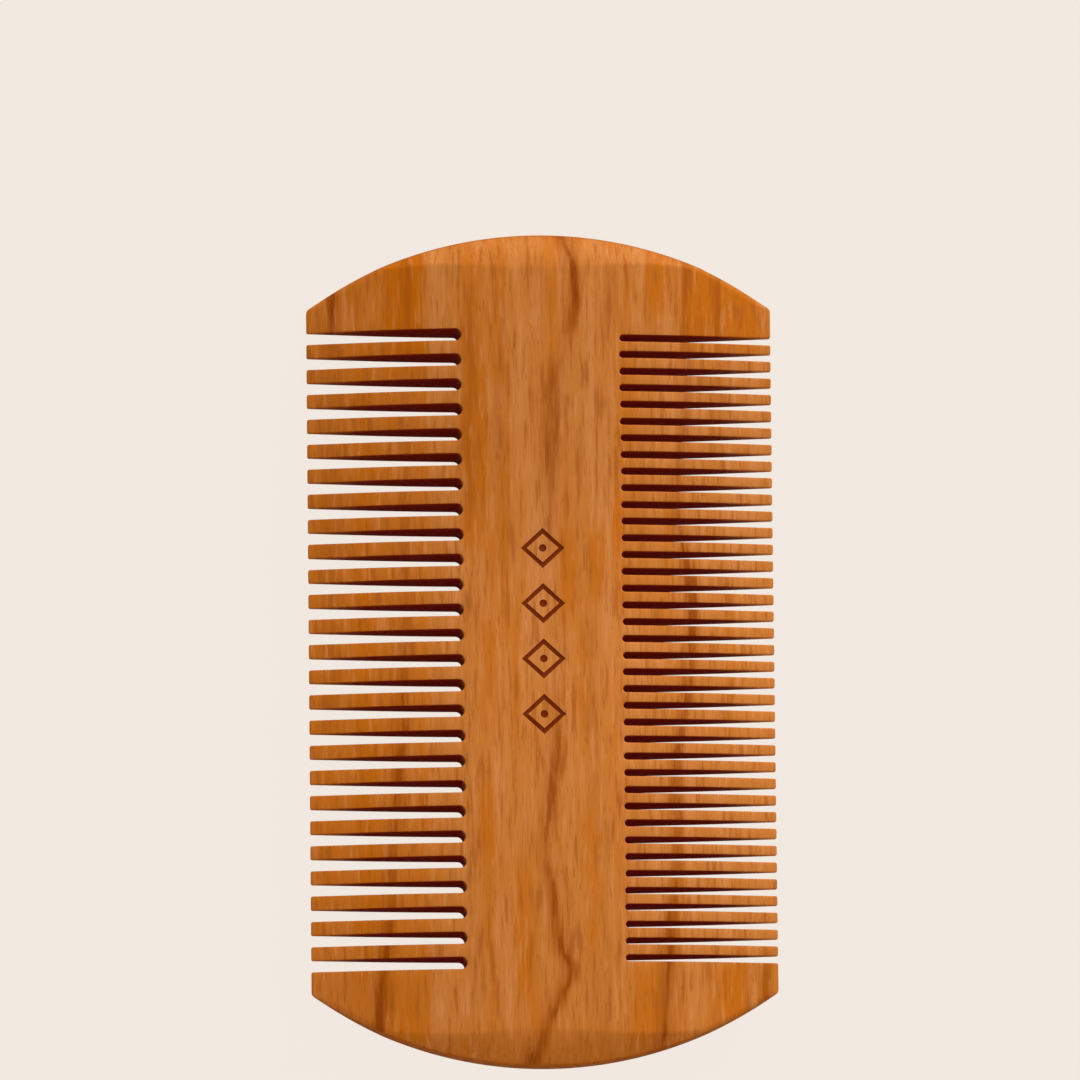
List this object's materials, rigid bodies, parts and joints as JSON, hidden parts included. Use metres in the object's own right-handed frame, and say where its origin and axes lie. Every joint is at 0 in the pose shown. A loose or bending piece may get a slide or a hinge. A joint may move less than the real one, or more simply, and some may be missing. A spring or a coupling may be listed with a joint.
{
  "type": "beard comb",
  "caption": "Two-sided wooden beard comb with bowed faces, coarse teeth on one side, fine teeth on the other and bevelled curved ends.",
  "frame": {"origin": "centre of the flat strip that the back rests on, under the middle of the comb", "axes": "+X across the comb towards the fine teeth, +Y along the comb, +Z through its thickness out of the marked face"},
  "size_m": [0.0554, 0.0992, 0.0094],
  "materials": {
    "oiled_wood": "oiled satin hardwood, grain along the comb, ornament burnt dark brown"
  },
  "bodies": {
    "root": {"comb_body": "oiled_wood"}
  },
  "joints": []
}
